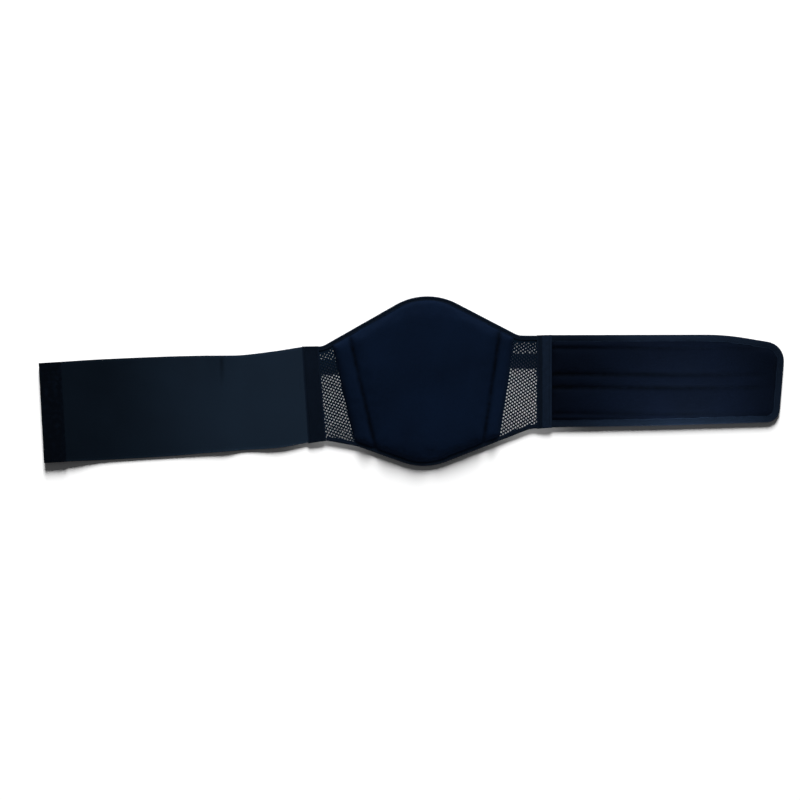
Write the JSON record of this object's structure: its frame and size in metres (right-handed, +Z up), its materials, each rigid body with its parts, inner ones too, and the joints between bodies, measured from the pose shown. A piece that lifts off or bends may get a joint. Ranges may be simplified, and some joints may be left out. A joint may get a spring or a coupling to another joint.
{
  "type": "kidney belt",
  "caption": "Long padded waist belt laid flat: hexagonal back pad with vent nets beside it, a wide elastic band on one side and a loop-faced closing wing on the other.",
  "frame": {"origin": "on the flat underside of the back pad, below the middle of the pad", "axes": "+X along the belt from the elastic band to the loop wing, +Y towards the belt's upper edge, +Z up out of its outer side"},
  "size_m": [0.9677, 0.2205, 0.0107],
  "materials": {
    "elastic": "smooth woven elastic, slight sheen",
    "tape": "folded woven tape, matt",
    "stretch": "ribbed stretch tape, matt",
    "pad": "fine knit over foam, matt",
    "net": "coarse knitted net",
    "loop": "brushed loop pile over foam",
    "hook": "hook strip"
  },
  "bodies": {
    "root": {"elastic_band": "elastic", "end_tab": "tape", "hook_tape": "hook", "join_strip_left": "tape", "join_strip_right": "tape", "net_left": "net", "net_right": "net", "net_tape_left": "stretch", "net_tape_right": "stretch", "back_pad": "pad", "pad_binding_top": "tape", "pad_binding_bottom": "tape", "loop_wing": "loop", "wing_binding": "tape"}
  },
  "joints": []
}
